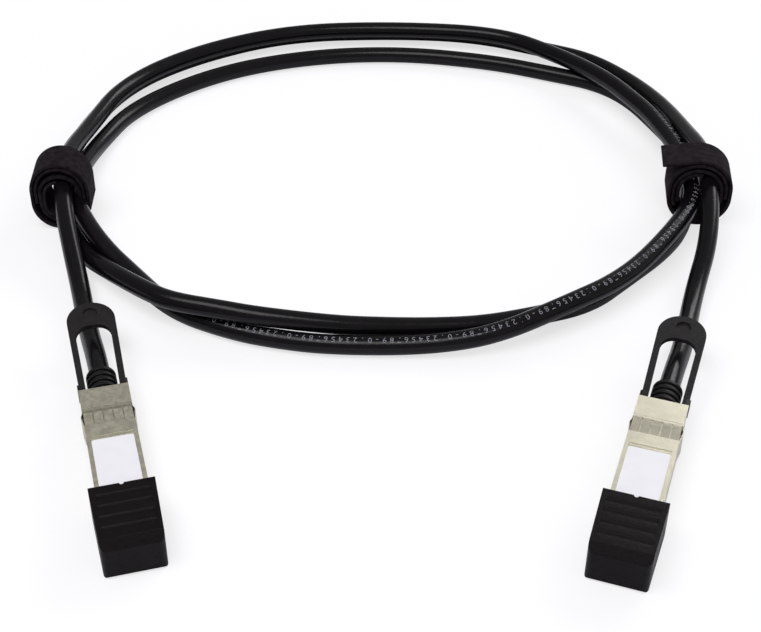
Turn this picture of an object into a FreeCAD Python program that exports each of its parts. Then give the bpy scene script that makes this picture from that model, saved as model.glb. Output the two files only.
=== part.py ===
"""Direct attach copper cable: two pluggable shells joined by a twin axial cable,
each with a dust cap on its nose and a pull tab on its latch, the cable coiled
two and a half turns and held by two hook and loop ties.

Row frame, millimetres: +Z up, the dust caps and the coil rest on z = 0, the
origin lies midway between the two plugs, and the coil lies towards +Y.
Each plug is built in its own frame: x across, y from the rear face (0) to the
nose, z up. It is then turned and set in its place.
"""
import FreeCAD, Part
import math
import os

# ---- cable and its route --------------------------------------------------
CABLE_D = 5.8
CABLE_END = 5.0            # how far the jacket runs into the plug
BEND_SHARE = 0.45          # share of the shorter run that each bend takes

# ---- plug body --------------------------------------------------------------
PLUG_W = 13.4
PLUG_H = 8.5
PLUG_L = 56.5
LOWER_H = 4.7              # height of the lower shell, from its underside
SIDE_WALL = 1.1
ROOF = 1.15
FLOOR = 1.3
REAR_FLOOR = 3.1           # floor over the latch springs, thicker
REAR_FLOOR_END = 22.0
BLOCK_L = 9.4              # solid rear block that grips the cable
NOSE_CHAMFER = 0.4
AXIS_H = 4.45              # cable axis above the plug's underside

# ---- where the plugs stand --------------------------------------------------
PLUG_SPREAD = 75.4         # centre of each rear face, from x = 0
PLUG_REAR_Y = 13.1
PLUG_TURN = 17.0           # each nose points inwards by this angle

# ---- rear block -------------------------------------------------------------
ENTRY_D = 6.3
ENTRY_L = 1.0
BORE_D = 6.9
BORE_L = 7.4
PAIR_BORE_D = 5.0
SCREW_X = 4.95
SCREW_Y = 6.6
SCREW_D = 1.2
SCREW_HEAD_D = 2.2
SCREW_HEAD_L = 0.8
SCREW_SINK = 0.9
SCREW_REACH = 7.5
DRIVE_W = 0.35
DRIVE_DEPTH = 0.35

# ---- shielding collar with spring fingers ------------------------------------
COLLAR_Y = 7.9
COLLAR_L = 6.7
COLLAR_SEAT = 0.25
COLLAR_T = 0.2
COLLAR_BAND = 0.85
FINGER_CREST = 0.52
FINGER_CREST_AT = 0.28     # share of the finger's length
FINGER_GAP = 0.3
TOP_FINGERS = 5
SIDE_FINGERS = 3
BOTTOM_FINGERS = 1         # on each side of the latch slider

# ---- label on the upper shell --------------------------------------------------
LIP_Y = 19.2
LIP_DROP = 0.15
LABEL_POCKET_Y = 20.2
LABEL_POCKET_L = 25.0
LABEL_POCKET_DEPTH = 0.25
LABEL_T = 0.08
LABEL_CORNER = 0.6

# ---- latch: slider, springs and boss ---------------------------------------------
SLIDER_T = 0.35
SLIDER_W = 7.0
SLIDER_Y = 0.5
SLIDER_L = 20.5
SLIDER_YOKE_L = 4.5
BOOT_NOTCH_W = 4.4         # in the slider's rear edge, clear of the boot when pulled
BOOT_NOTCH_L = 1.8
GROOVE_DEPTH = 0.67
ARM_T = 0.47
ARM_L = 4.1
ARM_TOP = 5.5              # above the plug's underside
STRIP_H = 1.1
STRIP_REACH = 4.6          # how far each arm's strip runs behind the rear face
LATCH_TRAVEL = 2.5
BOSS_W = 2.8
BOSS_Y = 17.8
BOSS_L = 2.6
BOSS_DROP = 1.1
BOSS_FLAT = 0.8
PRONG_TIP_L = 1.5
PRONG_TIP_DROP = 0.78
SPRING_X = 2.4
SPRING_Y = 9.0
SPRING_L = 5.5
SPRING_D = 1.5
SPRING_WIRE_D = 0.22
SPRING_TURNS = 5
SPRING_SIDES = 8           # straight lengths to a turn
SPRING_TAB_W = 1.4

# ---- pull tab ----------------------------------------------------------------------
TAB_W = 13.6
TAB_ROOT_W = 12.8
TAB_T = 1.5
TAB_REACH = 32.0
TAB_ARM_W = 1.8
TAB_PLATE_L = 8.7
TAB_TILT = 10.0
TAB_ROOT_Y = -3.0
TAB_ROOT_Z = 5.1           # above the plug's underside
KNUCKLE_WALL = 0.6
KNUCKLE_L = 4.6
KNUCKLE_H = 2.6
DIMPLE_D = 4.2
DIMPLE_DEPTH = 0.5
DIMPLE_FROM_END = 4.2

# ---- cable entry -----------------------------------------------------------------------
BOOT_L = 8.8
BOOT_D = 8.3
BOOT_GROOVE_D = 7.0
BOOT_RIBS = 4
BOOT_FLARE = 0.15
BOOT_RIB_SHARE = 0.55
FLANGE_L = 1.1
FERRULE_Y = 2.4
FERRULE_L = 4.8

# ---- inside ----------------------------------------------------------------------------
CARD_Y = 14.6
CARD_INSET = 0.9           # from the nose
CARD_T = 1.0
CARD_W = 10.7
CARD_SEAT = 3.75           # card's underside above the plug's underside
TONGUE_W = 9.2
TONGUE_L = 6.6
LEDGE_W = 1.1
LEDGE_END = 48.0
PEG_D = 1.2
PEG_Y = 44.0
PADS = 10
PAD_PITCH = 0.8
PAD_W = 0.5
PAD_L = 2.6
PAD_T = 0.05
TIE_BAR_W = 0.2
PAIR_W = 2.1
PAIR_H = 1.25
PAIR_START_X = 1.15
PAIR_END_X = 2.7
PAIR_BEND_Y = 9.8
PAIR_LAND_Y = 13.4
PAIR_END_Y = 17.6
CHIP_W = 3.0
CHIP_L = 3.0
CHIP_H = 0.85
CHIP_Y = 26.0
CHIP_LEGS = 4
LEG_PITCH = 0.65
LEG_W = 0.3
LEG_REACH = 0.9
CAP_CHIP_W = 0.5
CAP_CHIP_L = 1.0
CAP_CHIP_PITCH = 1.1
CAP_CHIP_Y = 41.0

# ---- dust cap -----------------------------------------------------------------------------
DUST_Y = 39.5
DUST_REAR_W = 16.8
DUST_FRONT_W = 15.7
DUST_FLOOR = 1.35
DUST_ROOF = 1.35
DUST_END_GAP = 0.4
DUST_FRONT_WALL = 3.0
DUST_SLOPE_L = 2.2
DUST_SLOPE_DROP = 2.2
DUST_CORNER = 1.6
DUST_EDGE = 0.5
GROOVES = 4
GROOVE_PITCH = 3.75
GROOVE_R = 2.4
GROOVE_SINK = 0.35
GROOVE_MARGIN = 1.0
NOTCH_R = 0.6

# ---- hook and loop ties ------------------------------------------------------------------------
STRAP_W = 12.0
STRAP_T = 1.1
STRAP_SLACK = 0.35         # between one turn of the strap and the next
TIE_H = 24.0

# ---- fits -------------------------------------------------------------------------------------------
CAP_FIT = 0.15
SLIDE_FIT = 0.1
SEAT_FIT = 0.03
FERRULE_FIT = 0.01
PAST = 1.0                 # how far a cut runs past the face it opens

# ---- worked out from the sizes above ------------------------------------------------------------------
UNDERSIDE = DUST_FLOOR + CAP_FIT
TOP = UNDERSIDE + PLUG_H
PARTING = UNDERSIDE + LOWER_H
AXIS_Z = UNDERSIDE + AXIS_H
HALF_W = PLUG_W / 2
CARD_Z = UNDERSIDE + CARD_SEAT
CARD_TOP = CARD_Z + CARD_T
SLIDER_Z = UNDERSIDE + COLLAR_SEAT + SEAT_FIT
GROOVE_TOP = UNDERSIDE + GROOVE_DEPTH
ARM_OUTER = HALF_W - SLIDE_FIT / 2
ARM_INNER = ARM_OUTER - ARM_T
SPRING_Z = GROOVE_TOP + SPRING_D / 2 + SLIDE_FIT
DUST_END = PLUG_L + DUST_END_GAP + DUST_FRONT_WALL


def box(x0, x1, y0, y1, z0, z1):
    """A block between two corners."""
    return Part.makeBox(x1 - x0, y1 - y0, z1 - z0, FreeCAD.Vector(x0, y0, z0))


def both_sides(shape):
    """The shape with its mirror image across x = 0."""
    return shape.fuse(shape.mirror(FreeCAD.Vector(0, 0, 0), FreeCAD.Vector(1, 0, 0)))


def rod(y0, y1, diameter, x=0.0, z=AXIS_Z):
    """A round bar along the plug."""
    return Part.makeCylinder(diameter / 2, y1 - y0, FreeCAD.Vector(x, y0, z), FreeCAD.Vector(0, 1, 0))


def side_profile(points, x0, x1):
    """A profile drawn in y and z, run across from x0 to x1."""
    corners = [FreeCAD.Vector(x0, y, z) for y, z in points]
    return Part.Face(Part.makePolygon(corners + corners[:1])).extrude(FreeCAD.Vector(x1 - x0, 0, 0))


def plan_profile(points, z0, z1):
    """A profile drawn in x and y, run up from z0 to z1."""
    corners = [FreeCAD.Vector(x, y, z0) for x, y in points]
    return Part.Face(Part.makePolygon(corners + corners[:1])).extrude(FreeCAD.Vector(0, 0, z1 - z0))


def edges_along(shape, direction, wanted):
    """The straight edges that run along a direction and pass a test of their middle."""
    axis = FreeCAD.Vector(*direction)
    found = []
    for edge in shape.Edges:
        if edge.Curve.TypeId != "Part::GeomLine":
            continue
        if edge.tangentAt(edge.FirstParameter).cross(axis).Length > 1e-6:
            continue
        if wanted(edge.CenterOfMass):
            found.append(edge)
    return found


# ---- shells ---------------------------------------------------------------------------------
def arm_recess():
    """Room for the slider's side arms, open at the rear."""
    end = SLIDER_Y + SLIDER_YOKE_L + 3 * SLIDE_FIT
    return both_sides(box(ARM_INNER - SLIDE_FIT, HALF_W + PAST, -PAST, end,
                          UNDERSIDE - PAST, UNDERSIDE + ARM_TOP + SLIDE_FIT))


def collar_seat():
    """The shallow band around both shells that the collar lies in."""
    y1 = COLLAR_Y + COLLAR_L
    outer = box(-HALF_W - PAST, HALF_W + PAST, COLLAR_Y, y1, UNDERSIDE - PAST, TOP + PAST)
    core = box(-HALF_W + COLLAR_SEAT, HALF_W - COLLAR_SEAT, COLLAR_Y - PAST, y1 + PAST,
               UNDERSIDE + COLLAR_SEAT, TOP - COLLAR_SEAT)
    return outer.cut(core)


def cable_bore():
    """The stepped bore through the rear block: mouth, ferrule room, way in for the pairs."""
    mouth = rod(-1, ENTRY_L, ENTRY_D)
    room = rod(ENTRY_L, BORE_L, BORE_D)
    way_in = rod(BORE_L, BLOCK_L + 1, PAIR_BORE_D)
    return mouth.fuse([room, way_in])


def screw_holes():
    """Countersunk holes from below, through the lower shell into the upper one."""
    shank = Part.makeCylinder(SCREW_D / 2 + SEAT_FIT, SCREW_REACH + SLIDE_FIT,
                              FreeCAD.Vector(SCREW_X, SCREW_Y, UNDERSIDE))
    head = Part.makeCylinder(SCREW_HEAD_D / 2 + SEAT_FIT, SCREW_SINK,
                             FreeCAD.Vector(SCREW_X, SCREW_Y, UNDERSIDE))
    return both_sides(shank.fuse(head))


def latch_boss():
    """The wedge under the nose that the cage's tongue locks behind."""
    low = UNDERSIDE - BOSS_DROP
    profile = [(BOSS_Y, GROOVE_TOP + 0.2), (BOSS_Y, low), (BOSS_Y + BOSS_FLAT, low),
               (BOSS_Y + BOSS_L, UNDERSIDE), (BOSS_Y + BOSS_L, GROOVE_TOP + 0.2)]
    return side_profile(profile, -BOSS_W / 2, BOSS_W / 2)


def slider_groove():
    """Room under the lower shell for the slider's plate, and for its springs."""
    yoke_end = SLIDER_Y + SLIDER_YOKE_L + 3 * SLIDE_FIT
    half = SLIDER_W / 2 + SLIDE_FIT
    yoke = box(-HALF_W - 1, HALF_W + 1, -1, yoke_end, UNDERSIDE - 1, GROOVE_TOP)
    channel = box(-half, half, -1, SLIDER_Y + SLIDER_L + 5 * SLIDE_FIT, UNDERSIDE - 1, GROOVE_TOP)
    reach = SPRING_D / 2 + SLIDE_FIT
    pocket = box(SPRING_X - reach, SPRING_X + reach, SPRING_Y, SPRING_Y + SPRING_L + SLIDER_T + SLIDE_FIT,
                 UNDERSIDE, SPRING_Z + reach)
    return yoke.fuse([channel, both_sides(pocket)])


def lower_shell():
    """Cast lower half: tray for the card, block for the cable, latch boss below."""
    inner = HALF_W - SIDE_WALL
    body = box(-HALF_W, HALF_W, 0, PLUG_L, UNDERSIDE, PARTING)
    body = body.makeChamfer(NOSE_CHAMFER, edges_along(body, (1, 0, 0),
                            lambda c: c.y > PLUG_L - 0.1 and c.z < PARTING - 1))
    body = body.cut(box(-inner, inner, BLOCK_L, REAR_FLOOR_END + 0.1, UNDERSIDE + REAR_FLOOR, PARTING + 1))
    body = body.cut(box(-inner, inner, REAR_FLOOR_END, PLUG_L + 1, UNDERSIDE + FLOOR, PARTING + 1))
    ledge = box(inner - LEDGE_W, inner + 0.1, CARD_Y - 0.4, LEDGE_END, UNDERSIDE + FLOOR - 0.1, CARD_Z)
    peg = Part.makeCylinder(PEG_D / 2, CARD_T + 0.2 + LEDGE_W,
                            FreeCAD.Vector(inner - LEDGE_W / 2, PEG_Y, CARD_Z - LEDGE_W - 0.3))
    body = body.fuse([both_sides(ledge), both_sides(peg)])
    body = body.cut([cable_bore(), screw_holes(), arm_recess(), collar_seat(), slider_groove()])
    return body.fuse(latch_boss()).removeSplitter()


def upper_shell():
    """Cast upper half: a lid with the label's pocket, a lip and side rails."""
    inner = HALF_W - SIDE_WALL
    body = box(-HALF_W, HALF_W, 0, PLUG_L, PARTING, TOP)
    body = body.makeChamfer(NOSE_CHAMFER, edges_along(body, (1, 0, 0),
                            lambda c: c.y > PLUG_L - 0.1 and c.z > PARTING + 1))
    body = body.cut(box(-inner, inner, BLOCK_L, PLUG_L + 1, PARTING - 1, TOP - ROOF))
    pocket_end = LABEL_POCKET_Y + LABEL_POCKET_L
    lip = box(-inner, inner, LIP_Y, LABEL_POCKET_Y + 0.1, TOP - LIP_DROP, TOP + 1)
    pocket = box(-inner, inner, LABEL_POCKET_Y, pocket_end, TOP - LABEL_POCKET_DEPTH, TOP + 1)
    hold_down = both_sides(box(inner - LEDGE_W, inner + 0.1, CARD_Y, LEDGE_END,
                               CARD_TOP + SEAT_FIT, TOP - ROOF + 0.1))
    peg_room = both_sides(Part.makeCylinder(PEG_D / 2 + SLIDE_FIT, CARD_T,
                          FreeCAD.Vector(inner - LEDGE_W / 2, PEG_Y, CARD_TOP)))
    body = body.fuse(hold_down)
    return body.cut([cable_bore(), screw_holes(), arm_recess(), collar_seat(), lip, pocket,
                     peg_room]).removeSplitter()


# ---- shielding collar ----------------------------------------------------------------------------
def finger(width):
    """One spring finger on a flat seat: x across, y along, z away from the seat."""
    length = COLLAR_L - COLLAR_BAND - SLIDE_FIT
    crest = length * FINGER_CREST_AT
    toe = length * 0.9
    under = [(-0.2, 0), (0, 0), (crest, FINGER_CREST), (toe, 0.06), (length, 0)]
    over = [(y, z + COLLAR_T) for y, z in reversed(under)]
    return side_profile(under + over, -width / 2, width / 2)


def finger_row(count, span):
    """A row of fingers centred on x = 0, filling a span."""
    pitch = span / count
    row = []
    for i in range(count):
        one = finger(pitch - FINGER_GAP)
        one.translate(FreeCAD.Vector((i - (count - 1) / 2) * pitch, 0, 0))
        row.append(one)
    return row


def collar():
    """A thin band around the plug with fingers standing off it on every side."""
    gap = COLLAR_SEAT - SEAT_FIT
    half_x = HALF_W - gap + COLLAR_T
    bottom = UNDERSIDE + gap - COLLAR_T
    top = TOP - gap + COLLAR_T
    y0 = COLLAR_Y + SLIDE_FIT / 2
    band = box(-half_x, half_x, y0, y0 + COLLAR_BAND, bottom, top)
    band = band.cut(box(-half_x + COLLAR_T, half_x - COLLAR_T, y0 - 1, y0 + COLLAR_BAND + 1,
                        bottom + COLLAR_T, top - COLLAR_T))
    root = y0 + COLLAR_BAND
    fingers = []
    for one in finger_row(TOP_FINGERS, 2 * half_x - COLLAR_T):
        one.translate(FreeCAD.Vector(0, root, top - COLLAR_T))
        fingers.append(one)
    for turn in (90, -90):
        for one in finger_row(SIDE_FINGERS, top - bottom - 4 * COLLAR_T):
            one.rotate(FreeCAD.Vector(0, 0, 0), FreeCAD.Vector(0, 1, 0), turn)
            side = math.copysign(half_x - COLLAR_T, turn)
            one.translate(FreeCAD.Vector(side, root, (top + bottom) / 2))
            fingers.append(one)
    free = half_x - SLIDER_W / 2 - SLIDE_FIT
    for side in (1, -1):
        for one in finger_row(BOTTOM_FINGERS, free - COLLAR_T):
            one.rotate(FreeCAD.Vector(0, 0, 0), FreeCAD.Vector(0, 1, 0), 180)
            one.translate(FreeCAD.Vector(side * (half_x - free / 2), root, bottom + COLLAR_T))
            fingers.append(one)
    return band.fuse(fingers).removeSplitter()


# ---- latch ------------------------------------------------------------------------------------------
def slider():
    """Stamped slider: a plate with two prongs, and side arms that carry the pull tab."""
    z0 = SLIDER_Z
    z1 = SLIDER_Z + SLIDER_T
    end = SLIDER_Y + SLIDER_L
    slot_half = BOSS_W / 2 + SLIDE_FIT
    slot_y = BOSS_Y - LATCH_TRAVEL * 0.9
    yoke = box(-ARM_OUTER, ARM_OUTER, SLIDER_Y, SLIDER_Y + SLIDER_YOKE_L, z0, z1)
    plate = box(-SLIDER_W / 2, SLIDER_W / 2, SLIDER_Y, end, z0, z1)
    boot_room = box(-BOOT_NOTCH_W / 2, BOOT_NOTCH_W / 2, SLIDER_Y - 1, SLIDER_Y + BOOT_NOTCH_L, z0 - 1, z1 + 1)
    slot = box(-slot_half, slot_half, slot_y, end + 1, z0 - 1, z1 + 1)
    tab_y = SPRING_Y + SPRING_L
    half_tab = SPRING_TAB_W / 2
    window = box(SPRING_X - half_tab, SPRING_X + half_tab, tab_y - SPRING_D, tab_y, z0 - 1, z1 + 1)
    spring_tab = box(SPRING_X - half_tab, SPRING_X + half_tab, tab_y, tab_y + SLIDER_T,
                     z0, SPRING_Z + SPRING_D / 2)
    tip = side_profile([(end - PRONG_TIP_L, z0 + 0.1), (end - PRONG_TIP_L, z0 - PRONG_TIP_DROP / 2),
                        (end - PRONG_TIP_L / 2, z0 - PRONG_TIP_DROP), (end, z0), (end, z0 + 0.1)],
                       slot_half, SLIDER_W / 2)
    arm_y = SLIDER_Y + (SLIDER_YOKE_L - ARM_L)
    arm_top = UNDERSIDE + ARM_TOP
    arm = box(ARM_INNER, ARM_OUTER, arm_y, arm_y + ARM_L, z0, arm_top)
    strip = box(ARM_INNER, ARM_OUTER, -STRIP_REACH, arm_y + 0.1, arm_top - STRIP_H, arm_top)
    body = yoke.fuse([plate, both_sides(arm), both_sides(strip), both_sides(tip)])
    body = body.cut([slot, boot_room, both_sides(window)])
    return body.fuse(both_sides(spring_tab)).removeSplitter()


def springs():
    """Two return springs, in the pockets above the slider."""
    coil_r = (SPRING_D - SPRING_WIRE_D) / 2
    height = SPRING_L - SPRING_WIRE_D - 2 * SEAT_FIT
    count = SPRING_TURNS * SPRING_SIDES
    points = []
    for i in range(count + 1):
        angle = 2 * math.pi * i / SPRING_SIDES
        points.append(FreeCAD.Vector(coil_r * math.cos(angle), height * i / count, coil_r * math.sin(angle)))
    r = SPRING_WIRE_D / 2
    corners = [FreeCAD.Vector(coil_r + a, 0, b) for a, b in ((-r, -r), (r, -r), (r, r), (-r, r))]
    section = [c + FreeCAD.Vector(0, c.z, -c.z) for c in corners]
    coil = Part.Wire(Part.makePolygon(points)).makePipeShell([Part.makePolygon(section + section[:1])],
                                                             True, True, 1)
    pair = []
    for side in (1, -1):
        one = coil.copy()
        one.translate(FreeCAD.Vector(side * SPRING_X, SPRING_Y + SPRING_WIRE_D / 2 + SEAT_FIT, SPRING_Z))
        pair.append(one)
    return Part.makeCompound(pair)


def pull_tab():
    """Moulded loop: two arms, a rounded plate with a thumb dimple, knuckles on the arms' strips."""
    head_r = TAB_W / 2
    root = TAB_ROOT_W / 2
    neck = TAB_REACH - head_r
    opening_end = TAB_REACH - TAB_PLATE_L
    plate = plan_profile([(root, 0), (-root, 0), (-head_r, -neck), (head_r, -neck)], -TAB_T / 2, TAB_T / 2)
    plate = plate.fuse(Part.makeCylinder(head_r, TAB_T, FreeCAD.Vector(0, -neck, -TAB_T / 2)))
    far = head_r - TAB_ARM_W
    near = root - TAB_ARM_W
    opening = plan_profile([(near, 1), (-near, 1), (-far, -opening_end), (far, -opening_end)], -TAB_T, TAB_T)
    opening = opening.makeFillet(far * 0.8, edges_along(opening, (0, 0, 1), lambda c: c.y < -1))
    dimple = Part.makeCylinder(DIMPLE_D / 2, DIMPLE_DEPTH + 1,
                               FreeCAD.Vector(0, -TAB_REACH + DIMPLE_FROM_END, TAB_T / 2 - DIMPLE_DEPTH))
    loop = plate.cut([opening, dimple])
    loop.rotate(FreeCAD.Vector(0, 0, 0), FreeCAD.Vector(1, 0, 0), -TAB_TILT)
    loop.translate(FreeCAD.Vector(0, TAB_ROOT_Y, UNDERSIDE + TAB_ROOT_Z))
    strip_z = UNDERSIDE + ARM_TOP - STRIP_H / 2
    knuckle = box(ARM_INNER - KNUCKLE_WALL, ARM_OUTER + KNUCKLE_WALL, -3 * SLIDE_FIT - KNUCKLE_L,
                  -3 * SLIDE_FIT, strip_z - KNUCKLE_H / 2, strip_z + KNUCKLE_H / 2)
    strip_room = box(ARM_INNER - SEAT_FIT, ARM_OUTER + SEAT_FIT, -STRIP_REACH - SEAT_FIT, 1,
                     strip_z - STRIP_H / 2 - SEAT_FIT, strip_z + STRIP_H / 2 + SEAT_FIT)
    return loop.fuse(both_sides(knuckle)).cut(both_sides(strip_room)).removeSplitter()


# ---- cable entry ---------------------------------------------------------------------------------------
def revolved(points):
    """A profile of (y, radius) points turned about the cable's axis."""
    corners = [FreeCAD.Vector(r, y, 0) for y, r in points]
    face = Part.Face(Part.makePolygon(corners + corners[:1]))
    solid = face.revolve(FreeCAD.Vector(0, 0, 0), FreeCAD.Vector(0, 1, 0), 360)
    solid.translate(FreeCAD.Vector(0, 0, AXIS_Z))
    return solid


def strain_relief():
    """Ribbed rubber boot with a neck and a flange that the shells close over."""
    hole = CABLE_D / 2 + SEAT_FIT
    neck = ENTRY_D / 2 - SEAT_FIT
    flange = BORE_D / 2 - SEAT_FIT
    groove = BOOT_GROOVE_D / 2
    pitch = (BOOT_L - SEAT_FIT) / BOOT_RIBS
    outer = [(-BOOT_L, hole + BOOT_FLARE)]
    for i in range(BOOT_RIBS):
        y = -BOOT_L + i * pitch
        outer += [(y, BOOT_D / 2), (y + BOOT_RIB_SHARE * pitch, BOOT_D / 2),
                  (y + BOOT_RIB_SHARE * pitch, groove), (y + pitch, groove)]
    outer += [(-SEAT_FIT, neck), (ENTRY_L + SEAT_FIT, neck),
              (ENTRY_L + SEAT_FIT, flange), (ENTRY_L + FLANGE_L, flange), (ENTRY_L + FLANGE_L, hole),
              (-BOOT_L / 2, hole)]
    return revolved(outer)


def ferrule():
    """Crimped sleeve over the end of the jacket: six flats outside, a stop inside."""
    y1 = FERRULE_Y + FERRULE_L
    outside = BORE_D / 2 - SEAT_FIT
    corners = []
    for i in range(6):
        angle = math.radians(60 * i)
        corners.append(FreeCAD.Vector(outside * math.cos(angle), FERRULE_Y, AXIS_Z + outside * math.sin(angle)))
    sleeve = Part.Face(Part.makePolygon(corners + corners[:1])).extrude(FreeCAD.Vector(0, FERRULE_L, 0))
    jacket_room = rod(FERRULE_Y - 1, CABLE_END + SLIDE_FIT, CABLE_D + 2 * FERRULE_FIT)
    throat = rod(CABLE_END, y1 + 1, PAIR_BORE_D)
    return sleeve.cut([jacket_room, throat])


def screws():
    """Two small cheese head screws with a slot, driven from below."""
    head_z = UNDERSIDE + SCREW_SINK - SCREW_HEAD_L
    head = Part.makeCylinder(SCREW_HEAD_D / 2, SCREW_HEAD_L, FreeCAD.Vector(SCREW_X, SCREW_Y, head_z))
    shank = Part.makeCylinder(SCREW_D / 2, SCREW_REACH - SCREW_SINK + SEAT_FIT,
                              FreeCAD.Vector(SCREW_X, SCREW_Y, UNDERSIDE + SCREW_SINK - SEAT_FIT))
    slot = box(SCREW_X - SCREW_HEAD_D, SCREW_X + SCREW_HEAD_D, SCREW_Y - DRIVE_W / 2, SCREW_Y + DRIVE_W / 2,
               head_z - 1, head_z + DRIVE_DEPTH)
    one = head.fuse(shank).cut(slot).removeSplitter()
    other = one.mirror(FreeCAD.Vector(0, 0, 0), FreeCAD.Vector(1, 0, 0))
    return Part.makeCompound([one, other])


# ---- inside ---------------------------------------------------------------------------------------------
def card():
    """Paddle card on the ledges, narrower at the nose, with a hole for each peg."""
    end = PLUG_L - CARD_INSET
    broad = box(-CARD_W / 2, CARD_W / 2, CARD_Y, end - TONGUE_L, CARD_Z, CARD_TOP)
    tongue = box(-TONGUE_W / 2, TONGUE_W / 2, end - TONGUE_L - 0.1, end, CARD_Z, CARD_TOP)
    peg_x = HALF_W - SIDE_WALL - LEDGE_W / 2
    hole = Part.makeCylinder(PEG_D / 2 + SEAT_FIT, CARD_T + 2 * PAST,
                             FreeCAD.Vector(peg_x, PEG_Y, CARD_Z - PAST))
    return broad.fuse(tongue).cut(both_sides(hole)).removeSplitter()


def pads():
    """Gold contact rows on both faces of the tongue, each joined by its plating bar."""
    end = PLUG_L - CARD_INSET - 2 * SLIDE_FIT
    first = -(PADS - 1) / 2 * PAD_PITCH
    row = [box(first - PAD_W / 2, -first + PAD_W / 2, end - PAD_L - TIE_BAR_W, end - PAD_L,
               CARD_TOP, CARD_TOP + PAD_T)]
    for i in range(PADS):
        x = first + i * PAD_PITCH
        row.append(box(x - PAD_W / 2, x + PAD_W / 2, end - PAD_L, end, CARD_TOP, CARD_TOP + PAD_T))
    upper = row[0].fuse(row[1:]).removeSplitter()
    lower = upper.mirror(FreeCAD.Vector(0, 0, (CARD_Z + CARD_TOP) / 2), FreeCAD.Vector(0, 0, 1))
    return Part.makeCompound([upper, lower])


def memory_chip():
    """Small identity memory with its legs on the card."""
    z0 = CARD_TOP + 0.1
    body = box(-CHIP_W / 2, CHIP_W / 2, CHIP_Y, CHIP_Y + CHIP_L, z0, z0 + CHIP_H)
    legs = []
    for i in range(CHIP_LEGS):
        y = CHIP_Y + CHIP_L / 2 + (i - (CHIP_LEGS - 1) / 2) * LEG_PITCH
        legs.append(box(-CHIP_W / 2 - LEG_REACH, CHIP_W / 2 + LEG_REACH, y - LEG_W / 2, y + LEG_W / 2,
                        CARD_TOP, CARD_TOP + 0.2))
    return body.fuse(legs).removeSplitter()


def capacitors():
    """Four small capacitors in line with the signal contacts."""
    group = []
    for i in range(4):
        x = (i - 1.5) * CAP_CHIP_PITCH
        group.append(box(x - CAP_CHIP_W / 2, x + CAP_CHIP_W / 2, CAP_CHIP_Y, CAP_CHIP_Y + CAP_CHIP_L,
                         CARD_TOP, CARD_TOP + CAP_CHIP_W))
    return Part.makeCompound(group)


def pair_section(x, y, z):
    """A flat eight-sided wire across the plug, the wrap round two cores side by side."""
    w = PAIR_W / 2
    h = PAIR_H / 2
    cut = h * 0.6
    corners = [(w, h - cut), (w - cut, h), (cut - w, h), (-w, h - cut),
               (-w, cut - h), (cut - w, -h), (w - cut, -h), (w, cut - h)]
    points = [FreeCAD.Vector(x + a, y, z + b) for a, b in corners]
    return Part.makePolygon(points + points[:1])


def pair(side):
    """One shielded pair from the end of the jacket down to the card."""
    land_z = CARD_TOP + PAIR_H / 2 + SEAT_FIT
    stations = [(PAIR_START_X, CABLE_END + SEAT_FIT, AXIS_Z), (PAIR_START_X, PAIR_BEND_Y, AXIS_Z),
                (PAIR_END_X, PAIR_LAND_Y, land_z), (PAIR_END_X, PAIR_END_Y, land_z)]
    sections = [pair_section(side * x, y, z) for x, y, z in stations]
    return Part.makeLoft(sections, True, True)


def label():
    """Sticker in its pocket on the upper shell, running on under the dust cap."""
    inner = HALF_W - SIDE_WALL - SLIDE_FIT
    z0 = TOP - LABEL_POCKET_DEPTH
    sheet = box(-inner, inner, LABEL_POCKET_Y + 3 * SLIDE_FIT, LABEL_POCKET_Y + LABEL_POCKET_L - 3 * SLIDE_FIT,
                z0, z0 + LABEL_T)
    return sheet.makeFillet(LABEL_CORNER, edges_along(sheet, (0, 0, 1), lambda c: True))


# ---- dust cap -----------------------------------------------------------------------------------------------
def dust_cap():
    """Soft sleeve closed at the nose: tapered in plan, sloped at the front, grooved for grip."""
    top = TOP + CAP_FIT + DUST_ROOF
    slope_y = DUST_END - DUST_SLOPE_L
    side = side_profile([(DUST_Y, 0), (DUST_END - DUST_EDGE, 0), (DUST_END, DUST_EDGE),
                         (DUST_END, top - DUST_SLOPE_DROP), (slope_y, top), (DUST_Y, top)],
                        -DUST_REAR_W, DUST_REAR_W)
    rear = DUST_REAR_W / 2
    front = DUST_FRONT_W / 2
    plan = plan_profile([(-rear, DUST_Y), (rear, DUST_Y), (front, DUST_END), (-front, DUST_END)], -1, top + 1)
    plan = plan.makeFillet(DUST_CORNER, edges_along(plan, (0, 0, 1), lambda c: c.y > DUST_END - 1))
    body = side.common(plan)
    room = box(-HALF_W - CAP_FIT, HALF_W + CAP_FIT, DUST_Y - 1, PLUG_L + DUST_END_GAP,
               UNDERSIDE - CAP_FIT, TOP + CAP_FIT)
    cuts = [room]
    half = front - GROOVE_MARGIN
    for i in range(GROOVES):
        y = DUST_Y + (i + 1) * GROOVE_PITCH
        for z in (top + GROOVE_R - GROOVE_SINK, -GROOVE_R + GROOVE_SINK):
            cuts.append(Part.makeCylinder(GROOVE_R, 2 * half, FreeCAD.Vector(-half, y, z),
                                          FreeCAD.Vector(1, 0, 0)))
    cuts.append(Part.makeCylinder(NOTCH_R, DUST_ROOF + 1, FreeCAD.Vector(0, DUST_Y, TOP)))
    return body.cut(cuts).removeSplitter()


PIECES = {
    "lower_shell": lower_shell, "upper_shell": upper_shell, "shield_collar": collar,
    "latch_slider": slider, "latch_springs": springs, "pull_tab": pull_tab,
    "strain_relief": strain_relief, "crimp_ferrule": ferrule, "cover_screws": screws,
    "paddle_card": card, "contact_pads": pads, "memory_chip": memory_chip,
    "capacitors": capacitors, "label": label, "dust_cap": dust_cap,
    "transmit_pair": lambda: pair(1), "receive_pair": lambda: pair(-1),
}


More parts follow.
